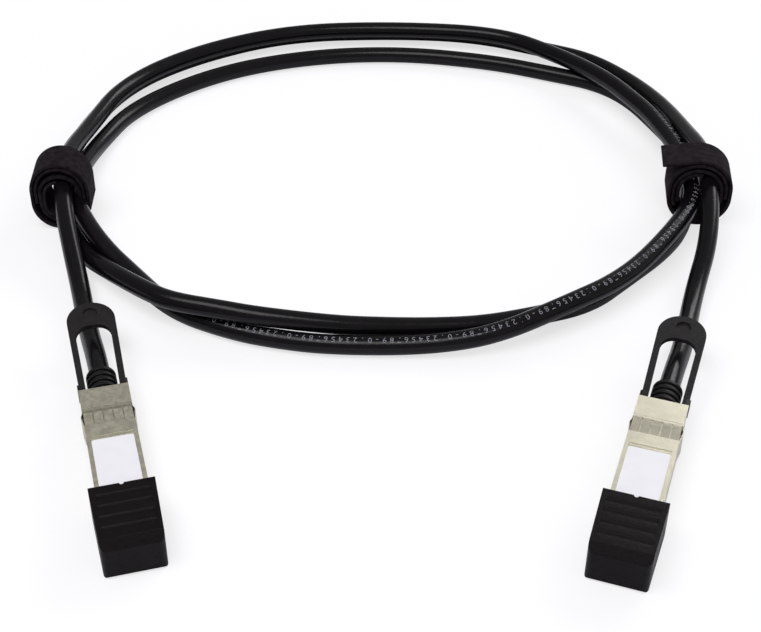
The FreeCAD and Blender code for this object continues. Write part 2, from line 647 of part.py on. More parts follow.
def in_place(shape, side):
    """A plug's piece turned and moved from the plug's frame to the row frame."""
    turn = 180 - side * PLUG_TURN
    spot = FreeCAD.Placement(FreeCAD.Vector(side * PLUG_SPREAD, PLUG_REAR_Y, 0),
                             FreeCAD.Rotation(FreeCAD.Vector(0, 0, 1), turn))
    placed = shape.copy()
    placed.Placement = spot.multiply(placed.Placement)
    return placed


# ---- cable ----------------------------------------------------------------------------------------------------
ON_FLOOR = CABLE_D / 2
LEFT_LEAD = [
    (-86.6, 46, 3.1), (-92.3, 65, 3), (-97.3, 79.6, 8.4), (-101.8, 93.1, 12.2), (-105, 107.5, 15.4),
    (-107.6, 128.6, 12.4), (-105.5, 149.5, 8.6),
]
RIGHT_LEAD = [
    (86.3, 46.6, 3.1), (92.2, 69.8, ON_FLOOR), (98.4, 90.5, 9.7), (101.5, 112.5, 16.2), (101.5, 140, 13.4),
    (99.8, 167, 8.4),
]
LEAD_OUT = 14.0            # straight lead behind each plug

# the coil, by sections about its middle: direction (degrees), inner and outer radius, bottom, top
COIL_MIDDLE = (-3, 151)
COIL_EDGE = 0.3            # share of a section's smaller side that each corner's chamfer takes
COIL = [
    (0, 94.5, 105.5, 1.4, 13), (14, 89, 106.6, 0, 12.2), (28, 85.6, 107.2, 0, 11.7), (41.5, 79.8, 103.9, 0, 10.3),
    (55, 72.1, 97, 0, 9.5), (69, 67.2, 92.5, 0, 9.3), (83, 65.1, 89.3, 0, 9.4), (97, 64.8, 88.8, 0, 9.4),
    (111, 66.5, 91.3, 0, 9.4), (124.5, 69.9, 94.5, 0, 9.4), (138.5, 75.4, 98.3, 0, 9.4),
    (152, 81.8, 102.8, 0, 9.5), (166, 89.5, 106.5, 0, 10.2), (180, 95, 109.3, 0.4, 11.4),
    # through the left tie
    (193.5, 100.6, 112.3, 1.8, 10.6), (200, 104, 113, 2.6, 11.3), (207, 107.2, 114.4, 3.2, 11.6),
    # the front
    (221.5, 106.1, 116.5, 1, 9), (235.5, 108.1, 117.9, 0, 11.8), (249, 106.2, 114.8, 0, 11.1),
    (263, 100.7, 113.5, 0, 8.5), (277, 98, 112.9, 0, 7.5), (291, 100.5, 113.8, 0, 9.5),
    (304.5, 103.6, 112.5, 0, 11.6), (318.5, 102.6, 111.2, 0, 12.1), (331, 102.9, 111, 1.4, 13.2),
    # through the right tie
    (338.5, 103.2, 109.8, 3, 14), (345.5, 100.6, 108.5, 2.8, 13.8),
]


def plug_point(side, y):
    """A point on the cable's axis in a plug, in the row frame."""
    turn = math.radians(180 - side * PLUG_TURN)
    return FreeCAD.Vector(side * PLUG_SPREAD - y * math.sin(turn), PLUG_REAR_Y + y * math.cos(turn), AXIS_Z)


def lead(name, side, route):
    """A round tube of straight runs joined by tangent bends, from a plug into the coil."""
    points = [plug_point(side, CABLE_END), plug_point(side, -LEAD_OUT)]
    points += [FreeCAD.Vector(*p) for p in route]
    edges = []
    radii = []
    here = points[0]
    for before, corner, after in zip(points, points[1:], points[2:]):
        back = (before - corner).normalize()
        on = (after - corner).normalize()
        turn = math.pi - back.getAngle(on)
        take = BEND_SHARE * min((before - corner).Length, (after - corner).Length)
        start = corner + back * take
        end = corner + on * take
        radius = take / math.tan(turn / 2)
        radii.append(round(radius))
        inward = (back + on).normalize()
        middle = corner + inward * (radius / math.cos(turn / 2) - radius)
        edges.append(Part.makeLine(here, start))
        edges.append(Part.Arc(start, middle, end).toShape())
        here = end
    edges.append(Part.makeLine(here, points[-1]))
    path = Part.Wire(edges)
    section = Part.Face(Part.Wire(Part.makeCircle(CABLE_D / 2, points[0], points[1] - points[0])))
    tube = path.makePipe(section)
    print(name, "bend radii", radii, "length", round(path.Length, 1),
          "volume over section", round(tube.Volume / section.Area, 1))
    return tube


def coil():
    """The outer shape of the coiled strands, a closed ring."""
    rings = []
    for degrees, inner, outer, bottom, top in COIL:
        cut = COIL_EDGE * min(outer - inner, top - bottom)
        corners = [(inner + cut, bottom), (outer - cut, bottom), (outer, bottom + cut), (outer, top - cut),
                   (outer - cut, top), (inner + cut, top), (inner, top - cut), (inner, bottom + cut)]
        angle = math.radians(degrees)
        points = [FreeCAD.Vector(COIL_MIDDLE[0] + r * math.cos(angle), COIL_MIDDLE[1] + r * math.sin(angle), z)
                  for r, z in corners]
        rings.append(Part.makePolygon(points + points[:1]))
    return Part.makeLoft(rings, True, True, True)


# ---- ties -------------------------------------------------------------------------------------------------------
# each: middle of the front edge (x, y), turn about z, way round (1 or -1), inner radius,
# where the last arc ends (degrees), length of the tail
TIES = {
    "tie_left": ((-104.4, 101.6), 4.0, -1, 7.7, 180, 7.0),
    "tie_right": ((98.0, 111.6), -4.0, 1, 8.4, 100, 10.5),
}


def strap_edge(way, radius, stand_off, last_angle, tail):
    """One surface of the wound strap, as arcs and straights in x and z, from its hidden end to its tail."""
    lap = STRAP_T + STRAP_SLACK
    low = STRAP_T + radius + lap / 2
    high = TIE_H - 2 * STRAP_T - STRAP_SLACK - radius
    first = radius + stand_off
    second = first + lap

    def at(x, z, reach, degrees):
        angle = math.radians(degrees)
        return FreeCAD.Vector(way * (x + reach * math.cos(angle)), 0, z + reach * math.sin(angle))

    def arc(x, z, reach, start, stop):
        return Part.Arc(at(x, z, reach, start), at(x, z, reach, (start + stop) / 2),
                        at(x, z, reach, stop)).toShape()

    under = lap / 2
    leave = at(0, high, second, last_angle)
    along = math.radians(last_angle + 90)
    tip = leave + FreeCAD.Vector(way * tail * math.cos(along), 0, tail * math.sin(along))
    return [
        Part.makeLine(at(0, low, first, 0), at(0, high, first, 0)),
        arc(0, high, first, 0, 180),
        Part.makeLine(at(0, high, first, 180), at(0, low, first, 180)),
        arc(under, low, first + under, 180, 360),
        Part.makeLine(at(0, low, second, 0), at(0, high, second, 0)),
        arc(0, high, second, 0, last_angle),
        Part.makeLine(leave, tip),
    ]


def tie(place, turn, way, radius, last_angle, tail):
    """A strap wound round the strands one and a half times, its tail free."""
    inner = strap_edge(way, radius, 0, last_angle, tail)
    outer = strap_edge(way, radius, STRAP_T, last_angle, tail)
    hidden_end = Part.makeLine(inner[0].Vertexes[0].Point, outer[0].Vertexes[0].Point)
    free_end = Part.makeLine(inner[-1].Vertexes[-1].Point, outer[-1].Vertexes[-1].Point)
    rim = Part.Wire(Part.__sortEdges__(inner + outer + [hidden_end, free_end]))
    band = Part.Face(rim).extrude(FreeCAD.Vector(0, STRAP_W, 0))
    band.rotate(FreeCAD.Vector(0, 0, 0), FreeCAD.Vector(0, 0, 1), turn)
    band.translate(FreeCAD.Vector(place[0], place[1], 0))
    return band


# ---- output ----------------------------------------------------------------------------------------------------------
os.makedirs("parts", exist_ok=True)
for piece, make in PIECES.items():
    solid = make()
    for side_name, side in (("left", -1), ("right", 1)):
        in_place(solid, side).exportStep("parts/" + piece + "_" + side_name + ".step")
lead("left lead", -1, LEFT_LEAD).exportStep("parts/cable_lead_left.step")
lead("right lead", 1, RIGHT_LEAD).exportStep("parts/cable_lead_right.step")
coil().exportStep("parts/cable_coil.step")
for name, values in TIES.items():
    tie(*values).exportStep("parts/" + name + ".step")
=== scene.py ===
"""Direct attach copper cable with a pluggable plug at each end, lying coiled on a white table."""
import math

import bpy
from mathutils import Matrix, Vector


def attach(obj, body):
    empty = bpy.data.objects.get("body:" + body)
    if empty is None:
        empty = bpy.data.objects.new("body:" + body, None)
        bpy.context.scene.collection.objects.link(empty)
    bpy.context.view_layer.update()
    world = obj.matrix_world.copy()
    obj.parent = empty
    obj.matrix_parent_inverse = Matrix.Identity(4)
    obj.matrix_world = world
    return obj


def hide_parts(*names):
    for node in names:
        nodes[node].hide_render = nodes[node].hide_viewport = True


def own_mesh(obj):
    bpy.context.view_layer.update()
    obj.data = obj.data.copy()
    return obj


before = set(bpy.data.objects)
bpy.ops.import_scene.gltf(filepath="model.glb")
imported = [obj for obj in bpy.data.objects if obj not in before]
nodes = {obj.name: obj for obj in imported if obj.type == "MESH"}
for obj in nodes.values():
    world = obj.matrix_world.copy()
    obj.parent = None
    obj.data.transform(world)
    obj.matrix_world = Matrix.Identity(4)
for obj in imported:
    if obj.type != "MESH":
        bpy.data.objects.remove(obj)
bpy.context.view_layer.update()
scene = bpy.context.scene

# ---- Camera -----------------------------------------------------------------------------------
# A long lens in front of the plugs and well above the table, looking down over them towards the
# coil. It is turned a little to one side and rolled by a hair.
CAMERA_AT = (0.0069, -0.2817, 0.2667)
LENS, SENSOR = 68.7, 36
PAN, TILT, ROLL = (math.radians(turn) for turn in (1.47, 52.0, 0.42))
bpy.ops.object.camera_add(location=CAMERA_AT)
camera = bpy.context.object
camera.data.lens = LENS
camera.data.sensor_width = SENSOR
camera.data.clip_start = 0.01
aim = Matrix.Rotation(PAN, 4, "Z") @ Matrix.Rotation(TILT, 4, "X") @ Matrix.Rotation(ROLL, 4, "Z")
camera.rotation_euler = aim.to_euler()
scene.camera = camera

# ---- Cable ------------------------------------------------------------------------------------
# Round twin axial cable in a glossy black jacket. It leaves the left plug, makes two and a half
# turns through both ties, and goes into the right plug. Points along it, in metres.
CABLE_D = 0.0058
route = [
    (-0.0739, 0.0083, 0.0060), (-0.0795, 0.0265, 0.0060),
    # up to the left tie
    (-0.0866, 0.0461, 0.0029), (-0.0923, 0.0649, 0.0031), (-0.0974, 0.0794, 0.0086),
    (-0.1017, 0.0925, 0.0124), (-0.1050, 0.1075, 0.0160),
    # round the back, on the outer strand
    (-0.1075, 0.1280, 0.0126), (-0.1053, 0.1502, 0.0086), (-0.0993, 0.1831, 0.0072),
    (-0.0765, 0.2093, 0.0070), (-0.0422, 0.2282, 0.0069), (-0.0020, 0.2326, 0.0068),
    (0.0392, 0.2297, 0.0069), (0.0608, 0.2108, 0.0079), (0.0759, 0.1915, 0.0097),
    (0.0863, 0.1724, 0.0096), (0.0906, 0.1624, 0.0096), (0.0964, 0.1418, 0.0098),
    # right tie, and the upper strand at the front
    (0.0975, 0.1212, 0.0115), (0.0963, 0.1087, 0.0114), (0.0908, 0.0973, 0.0105),
    (0.0774, 0.0778, 0.0090), (0.0667, 0.0661, 0.0089), (0.0567, 0.0589, 0.0087),
    (0.0468, 0.0527, 0.0079), (0.0360, 0.0468, 0.0065), (0.0238, 0.0434, 0.0046),
    (0.0064, 0.0422, 0.0029), (-0.0167, 0.0418, 0.0029), (-0.0309, 0.0438, 0.0029),
    (-0.0447, 0.0473, 0.0029), (-0.0636, 0.0563, 0.0029), (-0.0776, 0.0731, 0.0030),
    (-0.0880, 0.0830, 0.0057), (-0.0973, 0.0958, 0.0089), (-0.1025, 0.1091, 0.0094),
    # inner strand round the back
    (-0.1040, 0.1273, 0.0067), (-0.1024, 0.1477, 0.0032), (-0.0943, 0.1745, 0.0029),
    (-0.0677, 0.2010, 0.0029), (-0.0354, 0.2152, 0.0029), (-0.0000, 0.2198, 0.0029),
    (0.0355, 0.2143, 0.0029), (0.0589, 0.2055, 0.0029), (0.0743, 0.1995, 0.0029),
    (0.0852, 0.1881, 0.0029), (0.0934, 0.1693, 0.0029), (0.0999, 0.1490, 0.0043),
    (0.0990, 0.1282, 0.0050),
    # right tie, and the second strand at the front
    (0.0934, 0.1052, 0.0029), (0.0850, 0.0911, 0.0030), (0.0729, 0.0777, 0.0029),
    (0.0603, 0.0638, 0.0029), (0.0426, 0.0571, 0.0029), (0.0280, 0.0525, 0.0030),
    (0.0129, 0.0507, 0.0032), (-0.0019, 0.0489, 0.0044), (-0.0153, 0.0474, 0.0059),
    (-0.0373, 0.0472, 0.0086), (-0.0482, 0.0489, 0.0094), (-0.0625, 0.0525, 0.0091),
    (-0.0709, 0.0574, 0.0090), (-0.0859, 0.0716, 0.0066), (-0.0948, 0.0828, 0.0034),
    (-0.1065, 0.1058, 0.0044),
    # outer strand round the back, on the table
    (-0.1105, 0.1277, 0.0044), (-0.1099, 0.1552, 0.0029), (-0.1000, 0.1899, 0.0029),
    (-0.0769, 0.2143, 0.0029), (-0.0431, 0.2336, 0.0029), (-0.0006, 0.2376, 0.0029),
    (0.0307, 0.2358, 0.0029), (0.0562, 0.2251, 0.0029), (0.0730, 0.2177, 0.0029),
    (0.0866, 0.2008, 0.0034), (0.0955, 0.1770, 0.0068), (0.0995, 0.1510, 0.0116),
    (0.1015, 0.1348, 0.0153),
    # right tie, and down to the right plug
    (0.1018, 0.1154, 0.0166), (0.0993, 0.0906, 0.0098), (0.0921, 0.0698, 0.0029),
    (0.0863, 0.0466, 0.0029),
    (0.0795, 0.0265, 0.0060), (0.0739, 0.0083, 0.0060),
]
line = bpy.data.curves.new("cable", "CURVE")
line.dimensions = "3D"
strand = line.splines.new("NURBS")
strand.points.add(len(route) - 1)
for point, place in zip(strand.points, route):
    point.co = (*place, 1.0)
strand.order_u = 3
strand.use_endpoint_u = True
strand.resolution_u = 10
cable = bpy.data.objects.new("cable", line)
scene.collection.objects.link(cable)
# the cable's middle line, before it gets its thickness
middle = bpy.data.meshes.new_from_object(cable)
along = [corner.co.copy() for corner in middle.vertices]
line.bevel_depth = CABLE_D / 2
line.bevel_resolution = 7
line.use_fill_caps = True

# Shared effect: fine uneven grain, as a value between Low and High.
grain = bpy.data.node_groups.new("grain", "ShaderNodeTree")
for name in ("Scale", "Detail", "Low", "High"):
    grain.interface.new_socket(name, in_out="INPUT", socket_type="NodeSocketFloat")
grain.interface.new_socket("Value", in_out="OUTPUT", socket_type="NodeSocketFloat")
grain_in = grain.nodes.new("NodeGroupInput")
grain_out = grain.nodes.new("NodeGroupOutput")
grain_place = grain.nodes.new("ShaderNodeTexCoord")
grain_noise = grain.nodes.new("ShaderNodeTexNoise")
grain_range = grain.nodes.new("ShaderNodeMapRange")
grain_range.inputs["From Min"].default_value = 0.3
grain_range.inputs["From Max"].default_value = 0.7
for output, socket in (
        (grain_place.outputs["Object"], grain_noise.inputs["Vector"]),
        (grain_in.outputs["Scale"], grain_noise.inputs["Scale"]),
        (grain_in.outputs["Detail"], grain_noise.inputs["Detail"]),
        (grain_noise.outputs["Fac"], grain_range.inputs["Value"]),
        (grain_in.outputs["Low"], grain_range.inputs["To Min"]),
        (grain_in.outputs["High"], grain_range.inputs["To Max"]),
        (grain_range.outputs["Result"], grain_out.inputs["Value"])):
    grain.links.new(output, socket)

GRAIN_DEPTH = 0.0001


def grained(name, color, rough, bump, scale, metal=0.0, shade=0.85, specular=0.5):
    """A finish with one colour, and a grain in its shade, roughness and height."""
    finish = bpy.data.materials.new(name)
    finish.use_nodes = True
    tree = finish.node_tree
    shader = tree.nodes["Principled BSDF"]
    shader.inputs["Metallic"].default_value = metal
    shader.inputs["Specular IOR Level"].default_value = specular
    tint = tree.nodes.new("ShaderNodeMix")
    tint.data_type = "RGBA"
    tint.blend_type = "MULTIPLY"
    tint.inputs["Factor"].default_value = 1.0
    tint.inputs["A"].default_value = (*color, 1.0)
    relief = tree.nodes.new("ShaderNodeBump")
    relief.inputs["Strength"].default_value = bump
    relief.inputs["Distance"].default_value = GRAIN_DEPTH
    # coarse for the shade, finer for the gloss, and finest for the height
    uses = (("tone", 0.25, 3.0, shade, 2.0 - shade, tint.inputs["B"]),
            ("gloss", 0.5, 4.0, rough * 0.8, rough * 1.2, shader.inputs["Roughness"]),
            ("height", 1.0, 5.0, 0.0, 1.0, relief.inputs["Height"]))
    for use, fineness, detail, low, high, socket in uses:
        effect = tree.nodes.new("ShaderNodeGroup")
        effect.name = use
        effect.node_tree = grain
        effect.inputs["Scale"].default_value = scale * fineness
        effect.inputs["Detail"].default_value = detail
        effect.inputs["Low"].default_value = low
        effect.inputs["High"].default_value = high
        tree.links.new(effect.outputs["Value"], socket)
    tree.links.new(tint.outputs["Result"], shader.inputs["Base Color"])
    tree.links.new(relief.outputs["Normal"], shader.inputs["Normal"])
    return finish


jacket = grained("jacket", (0.0045, 0.0036, 0.0045), rough=0.21, bump=0.12, scale=700.0,
                 specular=0.18)
line.materials.append(jacket)
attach(cable, "root")
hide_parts("cable_lead_left", "cable_lead_right", "cable_coil")

# ---- Jacket print -----------------------------------------------------------------------------
# Length marks in pale ink along the upper strand at the front: plain figures that count up,
# with a dash after each nine. They stand a hair above the jacket.
MARK_H = 0.0019
MARK_SIZE = MARK_H * 1.35
MARK_STEP = 0.0021
MARK_LIFT = 0.00003
MARK_FROM = 0.420
MARK_TO = 0.655
MARK_TILT = math.radians(-22.0)
FIGURES = "0123456789-"
run = [0.0]
for here, there in zip(along, along[1:]):
    run.append(run[-1] + (there - here).length)


def on_jacket(distance, around):
    """A point on the jacket: distance along the cable, and angle round it from the top."""
    i = next(k for k in range(1, len(run)) if run[k] >= distance)
    share = (distance - run[i - 1]) / (run[i] - run[i - 1])
    heading = (along[i] - along[i - 1]).normalized()
    up = (Vector((0, 0, 1)) - heading * heading.z).normalized()
    across = heading.cross(up)
    centre = along[i - 1].lerp(along[i], share)
    outwards = up * math.cos(around) + across * math.sin(around)
    return centre + outwards * (CABLE_D / 2 + MARK_LIFT)


bpy.ops.object.select_all(action="DESELECT")
marks = []
spot = MARK_FROM
while spot < MARK_TO:
    bpy.ops.object.text_add(location=(0, 0, 0))
    text = bpy.context.object.data
    text.body = FIGURES[len(marks) % len(FIGURES)]
    text.size = MARK_SIZE
    text.resolution_u = 2
    text.align_x = "CENTER"
    bpy.ops.object.convert(target="MESH")
    mark = bpy.context.object
    for corner in mark.data.vertices:
        sideways = (corner.co.y - MARK_H / 2) / (CABLE_D / 2)
        corner.co = on_jacket(spot + corner.co.x, MARK_TILT - sideways)
    marks.append(mark)
    spot += MARK_STEP
for mark in marks:
    mark.select_set(True)
bpy.context.view_layer.objects.active = marks[0]
bpy.ops.object.join()
jacket_print = bpy.context.object
jacket_print.name = "jacket_print"
pale_ink = grained("pale_ink", (0.20, 0.20, 0.23), rough=0.6, bump=0.05, scale=900.0, shade=0.8,
                   specular=0.1)
jacket_print.data.materials.clear()
jacket_print.data.materials.append(pale_ink)
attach(jacket_print, "root")

# ---- Crimped sleeves --------------------------------------------------------------------------
# A short brass sleeve on the jacket's end in each plug, crimped over the braid. Its shape is
# the solid's own.
ferrule_brass = grained("ferrule_brass", (0.60, 0.46, 0.22), rough=0.35, bump=0.2, scale=1500.0,
                        metal=1.0, shade=0.95)
for side in ("left", "right"):
    nodes["crimp_ferrule_" + side].material_slots[0].material = ferrule_brass

# ---- Shielded pairs ---------------------------------------------------------------------------
# Two flat pairs in thin wrinkled foil in each plug, one to send and one to receive. They come
# out of the sleeve and are soldered to the card.
pair_foil = grained("pair_foil", (0.75, 0.75, 0.77), rough=0.35, bump=0.6, scale=900.0,
                    metal=1.0, shade=0.9)
for side in ("left", "right"):
    nodes["transmit_pair_" + side].material_slots[0].material = pair_foil
    nodes["receive_pair_" + side].material_slots[0].material = pair_foil

# ---- Paddle cards -----------------------------------------------------------------------------
# A green laminate card in each nose, with gold pads on both faces of its edge, a black memory
# chip and four small ceramic capacitors soldered to it.
card_laminate = grained("card_laminate", (0.012, 0.10, 0.035), rough=0.35, bump=0.2,
                        scale=2200.0, shade=0.85)
gold_pads = grained("gold_pads", (0.83, 0.58, 0.18), rough=0.22, bump=0.1, scale=1500.0,
                    metal=1.0, shade=0.97)
chip_resin = grained("chip_resin", (0.015, 0.015, 0.015), rough=0.55, bump=0.4, scale=2500.0,
                     shade=0.9)
capacitor_ceramic = grained("capacitor_ceramic", (0.42, 0.30, 0.18), rough=0.45, bump=0.2,
                            scale=2500.0, shade=0.9)
for side in ("left", "right"):
    nodes["paddle_card_" + side].material_slots[0].material = card_laminate
    nodes["contact_pads_" + side].material_slots[0].material = gold_pads
    nodes["memory_chip_" + side].material_slots[0].material = chip_resin
    nodes["capacitors_" + side].material_slots[0].material = capacitor_ceramic

# ---- Strain reliefs ---------------------------------------------------------------------------
# Ribbed rubber boots moulded round the jacket, which the two shells close over. Their ribs have
# soft edges.
boot_rubber = grained("boot_rubber", (0.005, 0.0045, 0.005), rough=0.45, bump=0.3, scale=1400.0,
                      shade=0.9, specular=0.2)
BOOT_EDGE = 0.00022
WELD = 0.000003                  # corners nearer than this are one
FLAT = math.radians(1.0)         # faces nearer to one plane than this are one
CREASE = math.radians(38.0)      # an edge sharper than this is rounded over


def softened(source, name, edge, steps, finish, body):
    """A piece with the shape of a solid and its edges rounded over, in place of that solid."""
    mesh = nodes[source].data.copy()
    mesh.materials.clear()
    mesh.materials.append(finish)
    piece = bpy.data.objects.new(name, mesh)
    scene.collection.objects.link(piece)
    bpy.ops.object.select_all(action="DESELECT")
    piece.select_set(True)
    bpy.context.view_layer.objects.active = piece
    bpy.ops.object.mode_set(mode="EDIT")
    bpy.ops.mesh.select_all(action="SELECT")
    bpy.ops.mesh.remove_doubles(threshold=WELD)
    bpy.ops.mesh.dissolve_limited(angle_limit=FLAT)
    bpy.ops.object.mode_set(mode="OBJECT")
    rounding = piece.modifiers.new("edge", "BEVEL")
    rounding.width = edge
    rounding.segments = steps
    rounding.limit_method = "ANGLE"
    rounding.angle_limit = CREASE
    bpy.ops.object.modifier_apply(modifier="edge")
    bpy.ops.object.shade_smooth_by_angle(angle=CREASE)
    piece.modifiers.new("flats", "WEIGHTED_NORMAL").keep_sharp = True
    bpy.ops.object.modifier_apply(modifier="flats")
    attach(piece, body)
    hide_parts(source)
    return piece


for side in ("left", "right"):
    softened("strain_relief_" + side, "cable_boot_" + side, BOOT_EDGE, 2, boot_rubber,
             "root")

# ---- Shells -----------------------------------------------------------------------------------
# Die cast zinc halves with a satin nickel plate, the lower one under the upper one, their
# edges just broken.
cast_nickel = grained("cast_nickel", (0.61, 0.585, 0.475), rough=0.42, bump=0.2, scale=1500.0,
                      metal=1.0, shade=0.94)
SHELL_EDGE = 0.00012
for side in ("left", "right"):
    for half in ("lower", "upper"):
        softened(half + "_shell_" + side, half + "_half_" + side, SHELL_EDGE, 2, cast_nickel,
                 "root")

# ---- Screws -----------------------------------------------------------------------------------
# Two small zinc plated screws to a plug, driven in from below to hold the shells together.
screw_steel = grained("screw_steel", (0.42, 0.42, 0.42), rough=0.35, bump=0.2, scale=1500.0,
                      metal=1.0, shade=0.95)
for side in ("left", "right"):
    nodes["cover_screws_" + side].material_slots[0].material = screw_steel

# ---- Return springs ---------------------------------------------------------------------------
# Two steel wire springs to a plug, seated between the shell and the slider's tabs.
spring_wire = grained("spring_wire", (0.6, 0.6, 0.6), rough=0.3, bump=0.1, scale=1500.0,
                      metal=1.0, shade=0.97)
for side in ("left", "right"):
    mesh = nodes["latch_springs_" + side].data.copy()
    mesh.materials.clear()
    mesh.materials.append(spring_wire)
    springs = bpy.data.objects.new("return_springs_" + side, mesh)
    scene.collection.objects.link(springs)
    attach(springs, "root")
    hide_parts("latch_springs_" + side)
    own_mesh(springs)

# ---- Latch sliders ----------------------------------------------------------------------------
# Stamped from plated spring sheet. Each runs in the groove under its plug, and its two arms
# come up the sides to the pull tab.
spring_plate = grained("spring_plate", (0.57, 0.54, 0.44), rough=0.38, bump=0.15, scale=1800.0,
                       metal=1.0, shade=0.95)
for side in ("left", "right"):
    nodes["latch_slider_" + side].material_slots[0].material = spring_plate

# ---- Shielding collars ------------------------------------------------------------------------
# A band of the same sheet, thinner, folded round each plug, with bowed fingers that bear on
# the cage.
for side in ("left", "right"):
    nodes["shield_collar_" + side].material_slots[0].material = spring_plate

# ---- Pull tabs --------------------------------------------------------------------------------
# Moulded loops of dark matte plastic over the latch slider's arms, rounded all over. The
# moulding is flush with the plug's sides where it grips the arms.
tab_plastic = grained("tab_plastic", (0.009, 0.0075, 0.0085), rough=0.45, bump=0.35,
                      scale=1400.0, shade=0.88, specular=0.25)
TAB_EDGE = 0.00035
PLUG_TURN = 17.0                 # each plug's nose points this far inwards, in degrees
PLUG_REAR = (0.0754, 0.0131)     # the middle of the right plug's rear face
KNUCKLE_OUT = 0.0068             # a knuckle stands this far out from the middle
KNUCKLE_FROM = -0.006            # and starts here, measured forwards from the rear face
KNUCKLE_PRESS = 0.9              # the share of what stands out that is pressed in
for side, sign in (("left", -1), ("right", 1)):
    loop = softened("pull_tab_" + side, "pull_loop_" + side, TAB_EDGE, 3, tab_plastic,
                    "latch_" + side)
    heading = math.radians(180 - sign * PLUG_TURN)
    across = Vector((math.cos(heading), math.sin(heading)))
    forward = Vector((-math.sin(heading), math.cos(heading)))
    rear = Vector((sign * PLUG_REAR[0], PLUG_REAR[1]))
    for corner in loop.data.vertices:
        offset = corner.co.xy - rear
        out = abs(offset.dot(across)) - KNUCKLE_OUT
        if out > 0 and offset.dot(forward) > KNUCKLE_FROM:
            inward = across * math.copysign(out * KNUCKLE_PRESS, offset.dot(across))
            corner.co.x -= inward.x
            corner.co.y -= inward.y

# ---- Labels -----------------------------------------------------------------------------------
# Bare white film with a slight sheen, pressed into the pocket of each upper shell. Nothing is
# printed on it.
label_film = grained("label_film", (0.80, 0.79, 0.84), rough=0.35, bump=0.05, scale=900.0,
                     shade=0.98)
for side in ("left", "right"):
    nodes["label_" + side].material_slots[0].material = label_film

# ---- Dust caps --------------------------------------------------------------------------------
# Soft black moulded caps pushed over the noses, with four wide shallow grip scallops on top.
cap_rubber = grained("cap_rubber", (0.0040, 0.0028, 0.0034), rough=0.45, bump=0.35,
                     scale=1100.0, shade=0.9, specular=0.11)
CAP_EDGE = 0.00045
for side in ("left", "right"):
    softened("dust_cap_" + side, "nose_cap_" + side, CAP_EDGE, 3, cap_rubber,
             "cap_" + side)

# ---- Ties -------------------------------------------------------------------------------------
# Two charcoal hook and loop straps, each wound about twice round the strands and pressed to
# itself, with cut edges and a nap. They hold the cable in its coil.
strap_weave = grained("strap_weave", (0.013, 0.010, 0.012), rough=0.9, bump=1.0, scale=2400.0,
                      shade=0.45, specular=0.08)
STRAP_W = 0.012
STRAP_T = 0.0011
STRAP_EDGE = 0.0003
STRAP_CREASE = math.radians(40.0)
HALF_WAY = 0.00001               # corners above this are in a band's upper half
LEFT_TIE, LEFT_TURN = (-0.1050, 0.1016), 4.0
RIGHT_TIE, RIGHT_TURN = (0.0980, 0.1116), -4.0
# the left strap is drawn up tighter than the right one
TIGHT = 0.91
TIGHT_ABOUT = (-0.1048, 0.1076, 0.012)
TIGHT_SHIFT = -0.0006
straps = []
for side in ("left", "right"):
    straps.append(softened("tie_" + side, "strap_" + side, STRAP_EDGE, 2, strap_weave,
                           "root"))


def inner_turn(name, place, turn, radius, start, stop, low, high):
    """The strap's first turn, inside the ring: an open band from one angle to another, whose
    lower and upper halves have their middles at low and at high."""
    bpy.ops.object.select_all(action="DESELECT")
    bpy.ops.mesh.primitive_cylinder_add(vertices=72, radius=radius, depth=STRAP_W,
                                        end_fill_type="NOTHING", rotation=(math.pi / 2, 0, 0))
    bpy.ops.object.transform_apply(rotation=True)
    band = bpy.context.object
    band.name = name
    bpy.ops.object.mode_set(mode="EDIT")
    bpy.ops.mesh.select_mode(type="FACE")
    bpy.ops.mesh.select_all(action="DESELECT")
    bpy.ops.object.mode_set(mode="OBJECT")
    for face in band.data.polygons:
        angle = (math.degrees(math.atan2(face.center.z, face.center.x)) - start) % 360
        face.select = angle > stop - start
    bpy.ops.object.mode_set(mode="EDIT")
    bpy.ops.mesh.delete(type="FACE")
    bpy.ops.mesh.select_mode(type="VERT")
    bpy.ops.mesh.select_all(action="DESELECT")
    bpy.ops.object.mode_set(mode="OBJECT")
    for corner in band.data.vertices:
        corner.select = corner.co.z > HALF_WAY
    bpy.ops.object.mode_set(mode="EDIT")
    bpy.ops.transform.translate(value=(0, 0, high - low))
    bpy.ops.object.mode_set(mode="OBJECT")
    wall = band.modifiers.new("wall", "SOLIDIFY")
    wall.thickness = STRAP_T
    wall.offset = -1
    bpy.ops.object.modifier_apply(modifier="wall")
    rounding = band.modifiers.new("edge", "BEVEL")
    rounding.width = STRAP_EDGE
    rounding.segments = 2
    rounding.limit_method = "ANGLE"
    bpy.ops.object.modifier_apply(modifier="edge")
    bpy.ops.object.shade_smooth_by_angle(angle=STRAP_CREASE)
    slant = math.radians(turn)
    band.rotation_euler.z = slant
    band.location = (place[0] - STRAP_W / 2 * math.sin(slant), place[1] + STRAP_W / 2, low)
    bpy.ops.object.transform_apply(location=True, rotation=True)
    band.data.materials.append(strap_weave)
    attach(band, "root")
    return band


